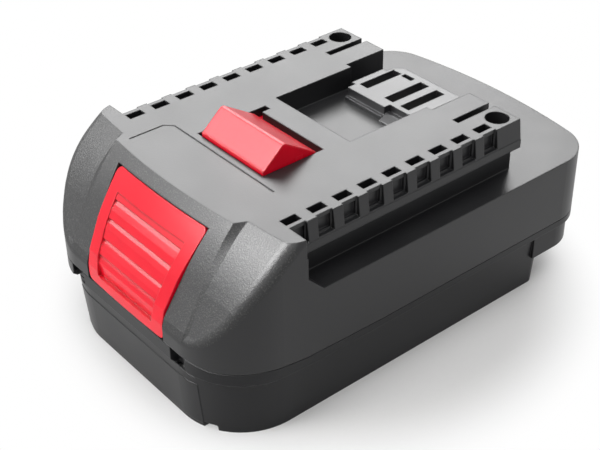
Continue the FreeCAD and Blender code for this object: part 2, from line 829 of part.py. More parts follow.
field_top = button_top + 4.05
field_foot = button_foot - 2.55
field_tall = (field_foot - field_top).value
ledges = [0.086, 0.288, 0.519, 0.704]
start = depth(field_top).value
profile = [(nose(-8), start), (face_at(start) + 0.5, start - 0.1)]
for share in ledges:
    level = start - field_tall * share
    profile.append((face_at(level) + 0.5, level + 0.1))
    profile.append((face_at(level) + 1.35, level))
    profile.append((face_at(level - 0.9) + 0.7, level - 0.9))
    profile.append((face_at(level - 2.0) + 0.4, level - 2.0))
end = depth(field_foot).value
profile.append((face_at(end) + 1.0, end + 0.1))
profile.append((nose(-8), end))
field = new_body("thumb_field")
prism(field, "Pad", "field_ledges", "X", -flare_half, flare_half, profile)
for side, word in ((-1, "left"), (1, "right")):
    prism(field, "Pocket", f"field_side_{word}", "Y", nose(-9), nose(20), [
        ((flare_half - 3.9) * side, depth(field_top - 1)),
        ((flare_half + 1) * side, depth(field_top - 1)),
        ((flare_half + 1) * side, depth(field_foot + 1)),
        ((button_half - 4.4) * side, depth(field_foot + 1)),
    ])
plate = cut("ribbed_plate", button, field)

arm = new_body("button_arm")


def ramp(level, gap):
    """The 45 degree ramp between the button and the latch, at a depth."""
    return along(latch_front - 1.3 - gap - level)


prism(arm, "Pad", "arm_block", "X", -8, 8, [
    (nose(13.8), depth(3.2)),
    (ramp(3.2, ramp_gap), depth(3.2)),
    (ramp(9.0, ramp_gap), depth(9.0)),
    (nose(8.8), depth(9.0)),
])
parts = [plate, arm]
for side, word in ((-1, "left"), (1, "right")):
    span = (12.0, button_half + 2.3)
    neck = (12.0, button_half)
    parts.append(box(f"button_lug_{word}", *(span if side > 0 else (-span[1], -span[0])),
                     nose(2.5), nose(3.9), depth(button_foot - 0.3), depth(button_foot - 1.9)))
    parts.append(box(f"lug_neck_{word}", *(neck if side > 0 else (-neck[1], -neck[0])),
                     nose(0.8), nose(3.9), depth(button_foot - 0.3), depth(button_foot - 1.9)))
node("release_button", fuse("release_button", parts))

# Latch: the wedge above the plateau, the carriage under it and the nose with the ramp

latch = new_body("latch_body")
prism(latch, "Pad", "latch_wedge", "X", 1.1 - latch_half, latch_half, [
    (along(latch_front), depth(4)),
    (along(latch_front), depth(-0.9)),
    (along(latch_front + 0.3), depth(-0.9)),
    (along(latch_front + 5.8), depth(0 - latch_rise)),
    (along(latch_front + 6.6), depth(0 - latch_rise)),
    (along(latch_rear), depth(0)),
    (along(latch_rear), depth(4)),
])
carriage_foot = 8.0
prism(latch, "Pad", "latch_carriage", "X", -carriage_half, carriage_half,
      rectangle(along(latch_front - 1.8), along(latch_rear + 3.8), depth(carriage_foot),
                depth(wall + 0.3)))
prism(latch, "Pad", "latch_nose", "X", -8, 8, [
    (along(latch_front - 0.3), depth(carriage_foot)),
    (ramp(carriage_foot, 0), depth(carriage_foot)),
    (ramp(wall + 0.3, 0), depth(wall + 0.3)),
    (along(latch_front - 0.3), depth(wall + 0.3)),
])
spring_offset = latch_half - 3.0
springs_at = ((-spring_offset, "left"), (spring_offset, "right"))
spring_along = latch_front + 8.7
seat_level = depth(carriage_foot - 1.5)
for x, word in springs_at:
    prism(latch, "Pocket", f"spring_seat_{word}", "Z", depth(carriage_foot + 0.1), seat_level,
          rectangle(x - 4.0, x + 4.0, along(spring_along - 4.0), along(spring_along + 4.0)))
node("latch_hook", latch)

# Latch springs: half turns of wire, with flat closed ends

spring_radius = size("spring_radius", 3.0)
spring_wire = size("spring_wire", 0.45)
spring_turns = 6


def spring_solid(x, y, low, high):
    radius = spring_radius.value
    half_rise = (high - low - 2 * spring_wire.value) / (2 * spring_turns)
    level = low + spring_wire.value
    edges = []
    place = 1
    heights = [0.0] + [half_rise * (2 * spring_turns) / (2 * spring_turns - 2)] * (
        2 * spring_turns - 2) + [0.0]
    for number, rise in enumerate(heights):
        start = FreeCAD.Vector(x + radius * place, y, level)
        middle = FreeCAD.Vector(x, y + radius * place, level + rise / 2)
        end = FreeCAD.Vector(x - radius * place, y, level + rise)
        edges.append(Part.Arc(start, middle, end).toShape())
        level += rise
        place = -place
    path = Part.Wire(edges)
    ring = Part.Wire(Part.makeCircle(spring_wire.value, FreeCAD.Vector(x + radius, y, low
                                                                      + spring_wire.value),
                                     FreeCAD.Vector(0, 1, 0)))
    solid = path.makePipeShell([ring], True, False)
    return solid


for x, word in springs_at:
    spring = doc.addObject("Part::Feature", f"latch_spring_{word}")
    spring.Shape = spring_solid(x.value, along(spring_along).value, tray_level.value,
                                seat_level.value)
    node(f"latch_spring_{word}", spring)

# Terminal block with its slots, feet and sheet metal contacts

block_right = pocket_half - 1.4
block_left = 2.55 - pocket_half


def back(distance):
    """A place ahead of the rear end of the rails."""
    return along(rail_end - distance)


contact_slots = {
    "contact_negative": (-9.0, -6.1, 14.0, 2.3),
    "contact_signal": (0.3, 3.3, 14.1, 1.6),
    "contact_positive": (5.9, 8.75, 14.0, 1.6),
}
block = new_body("block_body")
prism(block, "Pad", "block_top", "Z", depth(pocket_depth), depth(block_drop), [
    (block_left, back(14.8)),
    (-9.8, back(14.8)),
    (-9.8, back(17.3)),
    (3.7, back(17.3)),
    (3.7, back(15.4)),
    (block_right - 2.3, back(15.4)),
    (block_right, back(14.0)),
    (block_right, back(-0.3)),
    (-7.6, back(-0.3)),
    (-9.6, back(1.7)),
    (-9.6, back(4.1)),
    (block_left, back(4.1)),
])
prism(block, "Pad", "block_foot", "Z", depth(14.6), depth(pocket_depth - 0.5),
      rectangle(-foot_half, foot_half, back(15.0), back(1.4)))
prism(block, "Pad", "block_ledge", "Z", depth(pocket_depth), depth(4.9),
      rectangle(-9.8, 3.7, back(18.3), back(16.5)))
prism(block, "Pad", "block_ramp", "X", 3.6, block_right - 0.1, [
    (back(19.2), depth(pocket_depth)),
    (back(16.6), depth(4.4)),
    (back(13.8), depth(4.4)),
    (back(13.8), depth(pocket_depth)),
])
for name, (x_low, x_high, near, far) in contact_slots.items():
    prism(block, "Pocket", name + "_slot", "Z", depth(15), depth(0),
          rectangle(x_low, x_high, back(near), back(far)))
prism(block, "Pocket", "contact_coding_slot", "Z", depth(15), depth(0),
      rectangle(-5.35, -1.85, back(3.1), back(1.6)))
legs = [cylinder(f"block_leg_{number}", 1.2, x, back(y), board_level, depth(14))
        for number, (x, y) in enumerate(((-4.6, 13.0), (-4.6, 4.5), (4.6, 13.0), (4.6, 4.5)))]
node("terminal_block", fuse("terminal_block", [block] + legs))

for name, (x_low, x_high, near, far) in contact_slots.items():
    blades = []
    for word, low in (("near", x_low + 0.45), ("far", x_high - 0.95)):
        blades.append(box(f"{name}_{word}", low, low + 0.5, back(near - 0.5), back(far + 0.5),
                          depth(14.4), depth(block_drop + 2.8)))
    blades.append(box(f"{name}_base", x_low + 0.45, x_high - 0.45, back(near - 0.5),
                      back(far + 0.5), depth(14.9), depth(14.4)))
    centre = (x_low + x_high) / 2
    blades.append(box(f"{name}_leg", centre - 0.25, centre + 0.25, back(11), back(6),
                      board_level, depth(14.9)))
    node(name, fuse(name, blades))
node("contact_coding", box("contact_coding", -4.6, -2.6, back(2.7), back(2.0),
                           board_level, depth(block_drop + 2.4)))

# Circuit board and its parts

def ahead(distance):
    """A place behind the front edge of the board."""
    return along(board_front + distance)


board = new_body("board_body")
prism(board, "Pad", "board_plate", "Z", board_foot_level, board_level,
      rectangle(-board_half, board_half, along(board_front), along(board_rear)))
screw_corner = 4.0
corners = [(x, y) for x in (screw_corner - board_half, board_half - screw_corner)
           for y in (along(board_front + screw_corner), along(board_rear - screw_corner))]
board_holes = [cylinder(f"board_hole_{number}", 1.3, x, y, board_foot_level - 5, board_level + 5)
               for number, (x, y) in enumerate(corners)]
node("circuit_board", cut("circuit_board", board, fuse("board_holes", board_holes)))
node("power_transistors", fuse("power_transistors", [
    box(f"transistor_{number}", x, x + 6.0, ahead(5), ahead(11.5), board_level,
        board_level + 2.2) for number, x in enumerate((-20.0, -12.0, 14.0))]))
node("controller_chip", box("controller_chip", -3.5, 3.5, ahead(5), ahead(12),
                            board_level, board_level + 1.4))
node("shunt_resistor", box("shunt_resistor", 14.5, 21, ahead(15), ahead(18.2),
                           board_level, board_level + 1.0))
node("capacitors", fuse("capacitors", [
    cylinder(f"capacitor_{number}", 1.4, x, ahead(y), board_level, board_level + 2.3)
    for number, (x, y) in enumerate(((-18, 19), (-18, 24), (18, 25)))]))

tray_half = board_half + 0.5
tray = new_body("tray_body")
prism(tray, "Pad", "tray_plate", "Z", tray_foot_level, tray_level,
      rectangle(-tray_half, tray_half, along(row_front + 0.4), along(row_rear)))
prism(tray, "Pad", "tray_wall", "Z", tray_level, board_foot_level,
      rectangle(-tray_half, tray_half, along(board_front - 0.5), along(row_rear)))
prism(tray, "Pocket", "tray_room", "Z", tray_level, board_level,
      rectangle(1.5 - tray_half, tray_half - 1.5, along(board_front + 1),
                along(board_rear - 1)))
bead_along = cell_first + cell_pitch * 1.5
bead_wires = (3.0, 7.0)
tray_adds = [tray]
tray_cuts = [cylinder(f"lead_hole_{number}", 0.8, x, along(bead_along), tray_foot_level - 2,
                      tray_level + 5) for number, x in enumerate(bead_wires)]
for number, (x, y) in enumerate(corners):
    tray_adds.append(cylinder(f"board_post_{number}", 2.6, x, y, tray_level - 0.5,
                              board_foot_level))
    tray_cuts.append(cylinder(f"board_pilot_{number}", 1.1, x, y, tray_level + 0.8,
                              board_foot_level + 5))
for x, word in springs_at:
    tray_adds.append(cylinder(f"spring_peg_{word}", spring_radius - 0.9, x, along(spring_along),
                              tray_level - 0.5, tray_level + 3.6))
node("board_carrier", cut("board_carrier", fuse("carrier_whole", tray_adds),
                          fuse("carrier_cutters", tray_cuts)))
board_screws = []
for number, (x, y) in enumerate(corners):
    shank = cylinder(f"board_screw_shank_{number}", 1.0, x, y, tray_level + 1.0, board_level)
    head = cylinder(f"board_screw_head_{number}", 2.1, x, y, board_level, board_level + 1.4)
    board_screws.append(fuse(f"board_screw_{number}", [shank, head]))
node("board_screws", fuse("board_screws", board_screws))

# Cells with rings on their positive ends, in two frames, joined by welded strips

rings = []
for number in range(cell_count):
    y = along(cell_first + cell_pitch * number)
    side = 1 if number % 2 == 0 else -1
    can = cylinder(f"can_{number}", cell_radius, y, cell_level, -half_cell, half_cell, axis="x")
    groove = doc.addObject("Part::Torus", f"crimp_{number}")
    groove.setExpression("Radius1", (cell_radius + 0.25).text)
    groove.Radius2 = 0.8
    groove.Placement.Rotation = FreeCAD.Rotation(FreeCAD.Vector(0, 1, 0), 90)
    groove.setExpression("Placement.Base.x", ((half_cell - 3.6) * side).text)
    groove.setExpression("Placement.Base.y", y.text)
    groove.setExpression("Placement.Base.z", cell_level.text)
    node(f"cell_{number + 1}", cut(f"cell_{number + 1}", can, groove))
    start = half_cell if side > 0 else -half_cell - 0.25
    outer = cylinder(f"ring_outer_{number}", cell_radius - 0.3, y, cell_level, start,
                     start + 0.25, "x")
    inner = cylinder(f"ring_inner_{number}", 5.9, y, cell_level, start - 1, start + 2, "x")
    rings.append(cut(f"ring_{number}", outer, inner))
node("cell_rings", fuse("cell_rings", rings))

for side, word in ((-1, "left"), (1, "right")):
    ends = (half_cell - 10.0, half_cell - 0.2) if side > 0 else (0.2 - half_cell, 10.0 - half_cell)
    frame = box(f"frame_block_{word}", *ends, along(row_front), along(row_rear),
                floor_thick + 0.15, tray_foot_level)
    bores = [cylinder(f"frame_bore_{word}_{number}", cell_radius + 0.08,
                      along(cell_first + cell_pitch * number), cell_level,
                      ends[0] - 1, ends[1] + 1, "x") for number in range(cell_count)]
    node(f"cell_holder_{word}", cut(f"cell_holder_{word}", frame,
                                    fuse(f"frame_bores_{word}", bores)))
    sheet_low = half_cell + 0.85 if side > 0 else -half_cell - 1.1
    node(f"insulator_{word}", box(f"insulator_{word}", sheet_low, sheet_low + 0.25,
                                  along(row_front + 1.4), along(row_rear - 1.4),
                                  cell_level - 5.0, tray_foot_level - 1.2))

# Each link is its side, its first and last cell, and where its lead climbs to the board.
links = [
    (-1, 0, 0, board_front + 1.5),
    (1, 0, 1, board_front + 4.5),
    (-1, 1, 2, board_front + 6.0),
    (1, 2, 3, board_front + 16.0),
    (-1, 3, 3, cell_first + cell_pitch * 3),
]
strip_thick = size("strip_thick", 0.25)
lead_wide = size("lead_wide", 2.4)
run_top = tray_foot_level - 0.2
run_foot = run_top - 2.5
for number, (side, first, last, climb) in enumerate(links, 1):
    low = half_cell + 0.3 if side > 0 else -half_cell - 0.3 - strip_thick
    y_low = along(cell_first + cell_pitch * first - 4)
    y_high = along(cell_first + cell_pitch * last + 4)
    node(f"nickel_strip_{number}", box(f"nickel_strip_{number}", low, low + strip_thick, y_low,
                                       y_high, cell_level - 3.5, cell_level + 3.5))
    low = low + strip_thick * side
    high = low + strip_thick
    edge = (board_half - 1.8, high) if side > 0 else (low, 1.8 - board_half)
    start = along(climb)
    foot = cell_level
    pieces = []
    if start.value > y_high.value:
        foot = run_foot
        pieces.append(box(f"lead_foot_{number}", low, high, y_high - lead_wide, y_high,
                          cell_level, run_top))
        pieces.append(box(f"lead_run_{number}", low, high, y_high - lead_wide, start + lead_wide,
                          run_foot, run_top))
    pieces.append(box(f"lead_rise_{number}", low, high, start, start + lead_wide, foot,
                      board_level + 0.3))
    pieces.append(box(f"lead_top_{number}", *edge, start, start + lead_wide, board_level,
                      board_level + 0.3))
    node(f"cell_lead_{number}", fuse(f"cell_lead_{number}", pieces))

bead_level = cell_level + 4.6
bead = cylinder("bead", 1.1, along(bead_along), bead_level, bead_wires[0] - 0.6,
                bead_wires[1] + 0.6, "x")
wires = [cylinder(f"bead_wire_{number}", 0.3, x, along(bead_along), bead_level,
                  board_foot_level) for number, x in enumerate(bead_wires)]
node("thermistor", fuse("thermistor", [bead] + wires))

# Case screws from below, one node

case_screws = []
for side, word in ((-1, "left"), (1, "right")):
    for place, base, top, word_along in (
            (nose(screw_front), as_length(0), 22, "front"),
            (along(tub_rear + screw_rear), depth(overhang_foot), deck_drop + 9.3, "rear")):
        spot = (screw_offset * side, place)
        head = cylinder(f"screw_head_{word_along}_{word}", screw_head, *spot, base + 0.7,
                        base + 3.2)
        recess = cylinder(f"screw_drive_{word_along}_{word}", 1.4, *spot, base - 1, base + 2.0)
        shank = cylinder(f"screw_shank_{word_along}_{word}", screw_radius, *spot, base + 3.2,
                         depth(top))
        case_screws.append(fuse(f"screw_{word_along}_{word}",
                                [cut(f"screw_top_{word_along}_{word}", head, recess), shank]))
node("case_screws", fuse("case_screws", case_screws))

# Check every object and write each piece

doc.recompute()
for item in doc.Objects:
    if "Invalid" in item.State or "Error" in item.State:
        raise RuntimeError(f"{item.Name} did not build: {item.State}")
os.makedirs("parts", exist_ok=True)
for name, item in nodes.items():
    shape = item.Shape
    if shape.isNull() or not shape.isValid() or shape.Volume <= 0:
        raise RuntimeError(f"{name} has no valid solid")
    bounds = shape.BoundBox
    print(f"{name:22s} solids {len(shape.Solids)} volume {shape.Volume:9.1f}  "
          f"x {bounds.XMin:7.2f} {bounds.XMax:7.2f}  y {bounds.YMin:7.2f} {bounds.YMax:7.2f}  "
          f"z {bounds.ZMin:7.2f} {bounds.ZMax:7.2f}")
    shape.exportStep(f"parts/{name}.step")
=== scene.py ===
import math

import bpy
from mathutils import Matrix, Vector


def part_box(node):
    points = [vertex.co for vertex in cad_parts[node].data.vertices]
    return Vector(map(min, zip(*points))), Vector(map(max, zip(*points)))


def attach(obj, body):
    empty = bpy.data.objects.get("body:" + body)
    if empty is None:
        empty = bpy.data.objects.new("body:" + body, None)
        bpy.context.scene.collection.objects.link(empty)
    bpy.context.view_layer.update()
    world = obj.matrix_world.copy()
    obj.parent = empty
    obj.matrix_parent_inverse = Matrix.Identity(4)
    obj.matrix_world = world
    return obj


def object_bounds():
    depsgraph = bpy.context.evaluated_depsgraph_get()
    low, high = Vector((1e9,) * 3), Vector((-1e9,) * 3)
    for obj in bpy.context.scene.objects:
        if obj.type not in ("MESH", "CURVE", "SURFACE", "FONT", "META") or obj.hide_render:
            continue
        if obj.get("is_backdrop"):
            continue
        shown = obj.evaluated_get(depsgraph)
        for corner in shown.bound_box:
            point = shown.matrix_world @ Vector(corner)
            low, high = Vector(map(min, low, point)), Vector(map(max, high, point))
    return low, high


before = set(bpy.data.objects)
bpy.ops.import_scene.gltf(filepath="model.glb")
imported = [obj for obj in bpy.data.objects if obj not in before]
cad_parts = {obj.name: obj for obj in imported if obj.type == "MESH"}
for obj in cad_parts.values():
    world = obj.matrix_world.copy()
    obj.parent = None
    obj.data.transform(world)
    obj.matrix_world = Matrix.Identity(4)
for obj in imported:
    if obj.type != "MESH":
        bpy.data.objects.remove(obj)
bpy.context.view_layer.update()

# Photographer's table. The pack stands on a sheet of white paper, lit by three soft boxes and by a
# bright wall on its left, which only matt surfaces take up. The four sheen panels are no real lamps:
# they show in reflections alone, and give the black plastic the sheen of the photograph.

scene = bpy.context.scene
scene.view_settings.view_transform = "Standard"


def table_camera(place, azimuth, elevation, roll, lens):
    turn, lift, lean = (math.radians(angle) for angle in (azimuth, elevation, roll))
    back = Vector((math.sin(turn) * math.cos(lift), -math.cos(turn) * math.cos(lift),
                   math.sin(lift)))
    right = (-back).cross(Vector((0, 0, 1))).normalized()
    up = right.cross(-back)
    tilted_right = right * math.cos(lean) + up * math.sin(lean)
    tilted_up = up * math.cos(lean) - right * math.sin(lean)
    data = bpy.data.cameras.new("table_camera")
    data.sensor_width = 36.0
    data.lens = lens
    data.clip_start = 0.01
    camera = bpy.data.objects.new("table_camera", data)
    scene.collection.objects.link(camera)
    camera.matrix_world = Matrix((
        (tilted_right.x, tilted_up.x, back.x, place[0]),
        (tilted_right.y, tilted_up.y, back.y, place[1]),
        (tilted_right.z, tilted_up.z, back.z, place[2]),
        (0, 0, 0, 1)))
    scene.camera = camera


camera_place = (0.200675, -0.171044, 0.200437)
camera_azimuth = 50.909
camera_elevation = 34.76
camera_roll = -0.896
camera_lens = 75.835
table_camera(camera_place, camera_azimuth, camera_elevation, camera_roll, camera_lens)


def soft_box(name, place, target, width, height, power, sheen_only=False):
    data = bpy.data.lights.new(name, "AREA")
    data.shape = "RECTANGLE"
    data.size = width
    data.size_y = height
    data.energy = power
    lamp = bpy.data.objects.new(name, data)
    lamp.visible_diffuse = not sheen_only
    scene.collection.objects.link(lamp)
    lamp.location = place
    lamp.rotation_euler = (Vector(target) - Vector(place)).to_track_quat("-Z", "Y").to_euler()


case_middle = (0, 0, 0.03)
plateau_middle = (0, 0.02, 0.04)
button_middle = (0, -0.03, 0.04)
soft_box("front_soft_box", (-0.45, -1.05, 0.70), case_middle, 0.6, 0.5, 6.0)
soft_box("top_soft_box", (0.25, 0.10, 1.40), case_middle, 1.0, 1.0, 11.0)
soft_box("right_soft_box", (1.15, -0.35, 0.80), case_middle, 0.6, 0.6, 3.0)
soft_box("top_sheen", (-1.15, 0.85, 1.08), plateau_middle, 1.3, 0.8, 30.0, sheen_only=True)
soft_box("nose_sheen", (-0.15, -0.80, 1.35), plateau_middle, 0.9, 0.9, 78.0, sheen_only=True)
soft_box("front_sheen", (-0.55, -1.05, 1.00), plateau_middle, 0.8, 0.6, 30.0, sheen_only=True)
soft_box("red_sheen", (-0.95, -0.65, 0.95), button_middle, 0.5, 0.5, 9.0, sheen_only=True)


def seen_background(tree):
    """1 for the rays that show the background: to the camera, in a gloss or through glass."""
    ray = tree.nodes.new("ShaderNodeLightPath")
    seen = ray.outputs["Is Camera Ray"]
    for kind in ("Is Glossy Ray", "Is Transmission Ray"):
        either = tree.nodes.new("ShaderNodeMath")
        either.operation = "MAXIMUM"
        tree.links.new(seen, either.inputs[0])
        tree.links.new(ray.outputs[kind], either.inputs[1])
        seen = either.outputs[0]
    return seen


# Places of the sockets for colours in a mix node, whose names come more than once
first_colour = 6
second_colour = 7
mixed_colour = 2


def blend_colours(material, first, second, factor):
    """A mix of two colours, each given as a tuple or as a socket."""
    mix = material.node_tree.nodes.new("ShaderNodeMix")
    mix.data_type = "RGBA"
    for slot, colour in ((first_colour, first), (second_colour, second)):
        if isinstance(colour, tuple):
            mix.inputs[slot].default_value = (*colour, 1)
        else:
            material.node_tree.links.new(colour, mix.inputs[slot])
    material.node_tree.links.new(factor, mix.inputs["Factor"])
    return mix.outputs[mixed_colour]


sheet_reach = 4.0
shadow_reach = 0.050
white_reach = 0.074


def sheet_of_paper():
    """White paper that keeps the shadow near the pack and fades to plain white further out."""
    material = bpy.data.materials.new("white_sheet")
    material.use_nodes = True
    nodes, links = material.node_tree.nodes, material.node_tree.links
    paper = nodes["Principled BSDF"]
    paper.inputs["Roughness"].default_value = 0.9
    paper.inputs["Specular IOR Level"].default_value = 0.1
    fibres = nodes.new("ShaderNodeTexNoise")
    fibres.inputs["Scale"].default_value = 900.0
    place = nodes.new("ShaderNodeTexCoord")
    links.new(place.outputs["Object"], fibres.inputs["Vector"])
    shade = blend_colours(material, (0.85, 0.845, 0.84), (0.87, 0.865, 0.86),
                          fibres.outputs["Fac"])
    links.new(shade, paper.inputs["Base Color"])
    output = nodes["Material Output"]
    glow = nodes.new("ShaderNodeEmission")
    glow.inputs["Color"].default_value = (1, 1, 1, 1)
    glow.inputs["Strength"].default_value = 1.0
    distance = nodes.new("ShaderNodeVectorMath")
    distance.operation = "LENGTH"
    links.new(place.outputs["Object"], distance.inputs[0])
    fade = nodes.new("ShaderNodeMapRange")
    fade.interpolation_type = "SMOOTHSTEP"
    fade.inputs["From Min"].default_value = shadow_reach
    fade.inputs["From Max"].default_value = white_reach
    links.new(distance.outputs["Value"], fade.inputs["Value"])
    share = nodes.new("ShaderNodeMath")
    share.operation = "MULTIPLY"
    links.new(fade.outputs["Result"], share.inputs[1])
    mix = nodes.new("ShaderNodeMixShader")
    links.new(seen_background(material.node_tree), share.inputs[0])
    links.new(share.outputs[0], mix.inputs["Fac"])
    links.new(paper.outputs["BSDF"], mix.inputs[1])
    links.new(glow.outputs["Emission"], mix.inputs[2])
    links.new(mix.outputs["Shader"], output.inputs["Surface"])
    return material


sheet_mesh = bpy.data.meshes.new("white_sheet")
sheet_corners = [(x * sheet_reach, y * sheet_reach, 0)
                 for x, y in ((-1, -1), (1, -1), (1, 1), (-1, 1))]
sheet_mesh.from_pydata(sheet_corners, [], [(0, 1, 2, 3)])
sheet = bpy.data.objects.new("white_sheet", sheet_mesh)
sheet_mesh.materials.append(sheet_of_paper())
scene.collection.objects.link(sheet)
sheet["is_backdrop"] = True

# Places of the sockets for plain values in the same node
first_value = 2
second_value = 3
mixed_value = 0

white = 1.0
wall_light = 1.56
room_light = 0.08
wall_edge = 0.3
wall_top_start = 0.35
wall_top_end = 0.65

world = bpy.data.worlds.new("studio")
scene.world = world
world.use_nodes = True
backdrop = world.node_tree.nodes["Background"]
backdrop.inputs["Color"].default_value = (1, 1, 1, 1)
room, room_links = world.node_tree.nodes, world.node_tree.links
direction = room.new("ShaderNodeTexCoord")
sides = room.new("ShaderNodeSeparateXYZ")
room_links.new(direction.outputs["Generated"], sides.inputs["Vector"])
wall = room.new("ShaderNodeMapRange")
wall.interpolation_type = "SMOOTHSTEP"
wall.inputs["From Min"].default_value = wall_edge
wall.inputs["From Max"].default_value = -wall_edge
room_links.new(sides.outputs["X"], wall.inputs["Value"])
height = room.new("ShaderNodeMapRange")
height.interpolation_type = "SMOOTHSTEP"
height.inputs["From Min"].default_value = wall_top_end
height.inputs["From Max"].default_value = wall_top_start
room_links.new(sides.outputs["Z"], height.inputs["Value"])
glow = room.new("ShaderNodeMath")
glow.operation = "MULTIPLY"
room_links.new(wall.outputs["Result"], glow.inputs[0])
room_links.new(height.outputs["Result"], glow.inputs[1])
matt_light = room.new("ShaderNodeMapRange")
matt_light.inputs["To Min"].default_value = room_light
matt_light.inputs["To Max"].default_value = wall_light
room_links.new(glow.outputs[0], matt_light.inputs["Value"])
level = room.new("ShaderNodeMix")
level.inputs[second_value].default_value = white
room_links.new(seen_background(world.node_tree), level.inputs["Factor"])
room_links.new(matt_light.outputs["Result"], level.inputs[first_value])
room_links.new(level.outputs[mixed_value], backdrop.inputs["Strength"])

# Lower housing: the tub of the case, injection moulded in black nylon. The cells and the board go
# into it from above. Its skin is satin, with a little scuffing on the edges.


def surface_group():
    """Fine grain, slow clouds, rounded edges and an edge mask, for every moulded piece."""
    group = bpy.data.node_groups.new("moulded_surface", "ShaderNodeTree")
    face = group.interface
    for name, value in (("Grain", 0.2), ("Grain Scale", 3000.0), ("Edge", 0.0004),
                        ("Rough", 0.4), ("Spread", 0.1)):
        socket = face.new_socket(name, in_out="INPUT", socket_type="NodeSocketFloat")
        socket.default_value = value
    face.new_socket("Normal", in_out="OUTPUT", socket_type="NodeSocketVector")
    for name in ("Roughness", "Cloud", "Wear", "Speck"):
        face.new_socket(name, in_out="OUTPUT", socket_type="NodeSocketFloat")
    nodes, links = group.nodes, group.links
    given = nodes.new("NodeGroupInput")
    result = nodes.new("NodeGroupOutput")
    place = nodes.new("ShaderNodeTexCoord")
    grain = nodes.new("ShaderNodeTexNoise")
    grain.inputs["Detail"].default_value = 2.0
    links.new(place.outputs["Object"], grain.inputs["Vector"])
    links.new(given.outputs["Grain Scale"], grain.inputs["Scale"])
    edge = nodes.new("ShaderNodeBevel")
    edge.samples = 4
    links.new(given.outputs["Edge"], edge.inputs["Radius"])
    bump = nodes.new("ShaderNodeBump")
    bump.inputs["Distance"].default_value = 0.0001
    links.new(given.outputs["Grain"], bump.inputs["Strength"])
    links.new(grain.outputs["Fac"], bump.inputs["Height"])
    links.new(edge.outputs["Normal"], bump.inputs["Normal"])
    links.new(bump.outputs["Normal"], result.inputs["Normal"])
    cloud = nodes.new("ShaderNodeTexNoise")
    cloud.inputs["Scale"].default_value = 70.0
    cloud.inputs["Detail"].default_value = 3.0
    links.new(place.outputs["Object"], cloud.inputs["Vector"])
    links.new(cloud.outputs["Fac"], result.inputs["Cloud"])
    shift = nodes.new("ShaderNodeMath")
    shift.operation = "SUBTRACT"
    shift.inputs[1].default_value = 0.5
    links.new(cloud.outputs["Fac"], shift.inputs[0])
    spread = nodes.new("ShaderNodeMath")
    spread.operation = "MULTIPLY_ADD"
    links.new(shift.outputs[0], spread.inputs[0])
    links.new(given.outputs["Spread"], spread.inputs[1])
    links.new(given.outputs["Rough"], spread.inputs[2])
    links.new(spread.outputs[0], result.inputs["Roughness"])
    flat = nodes.new("ShaderNodeNewGeometry")
    lean = nodes.new("ShaderNodeVectorMath")
    lean.operation = "DOT_PRODUCT"
    links.new(edge.outputs["Normal"], lean.inputs[0])
    links.new(flat.outputs["True Normal"], lean.inputs[1])
    wear = nodes.new("ShaderNodeMapRange")
    wear.inputs["From Min"].default_value = 0.995
    wear.inputs["From Max"].default_value = 0.80
    links.new(lean.outputs["Value"], wear.inputs["Value"])
    patchy = nodes.new("ShaderNodeMath")
    patchy.operation = "MULTIPLY"
    links.new(wear.outputs["Result"], patchy.inputs[0])
    links.new(cloud.outputs["Fac"], patchy.inputs[1])
    links.new(patchy.outputs[0], result.inputs["Wear"])
    speck = nodes.new("ShaderNodeMapRange")
    speck.inputs["From Min"].default_value = 0.52
    speck.inputs["From Max"].default_value = 0.72
    links.new(grain.outputs["Fac"], speck.inputs["Value"])
    links.new(speck.outputs["Result"], result.inputs["Speck"])
    return group


moulded_surface = surface_group()
cloud_spread = 0.12
scuff_gain = 1.25
scuff_lift = 0.012


def moulding(name, colour, rough, grain=0.15, grain_scale=3000.0, edge=0.0004, level=0.5,
             worn=None):
    """A moulded plastic: grain and rounded edges, clouds in the colour, worn edges."""
    material = bpy.data.materials.new(name)
    material.use_nodes = True
    nodes, links = material.node_tree.nodes, material.node_tree.links
    shader = nodes["Principled BSDF"]
    shader.inputs["Specular IOR Level"].default_value = level
    surface = nodes.new("ShaderNodeGroup")
    surface.node_tree = moulded_surface
    surface.name = "surface"
    surface.inputs["Grain"].default_value = grain
    surface.inputs["Grain Scale"].default_value = grain_scale
    surface.inputs["Edge"].default_value = edge
    surface.inputs["Rough"].default_value = rough
    links.new(surface.outputs["Normal"], shader.inputs["Normal"])
    links.new(surface.outputs["Roughness"], shader.inputs["Roughness"])
    tone = blend_colours(material, tuple(part * (1 - cloud_spread) for part in colour),
                         tuple(part * (1 + cloud_spread) for part in colour),
                         surface.outputs["Cloud"])
    scuffed = worn or tuple(min(1.0, part * scuff_gain + scuff_lift) for part in colour)
    tone = blend_colours(material, tone, scuffed, surface.outputs["Wear"])
    links.new(tone, shader.inputs["Base Color"])
    return material


def dress(material, *names):
    """Puts one material on nodes of the frame and leaves their meshes as they are."""
    for name in names:
        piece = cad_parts[name]
        piece.data.materials.clear()
        piece.data.materials.append(material)


dress(moulding("tub_black", (0.006, 0.006, 0.007), 0.36, grain=0.10, level=0.25),
      "lower_housing")

# Cells: four round 18 mm cells in blue shrink sleeves, laid crosswise. Each positive end has a
# ring of pale insulating card, punched from the sheet.


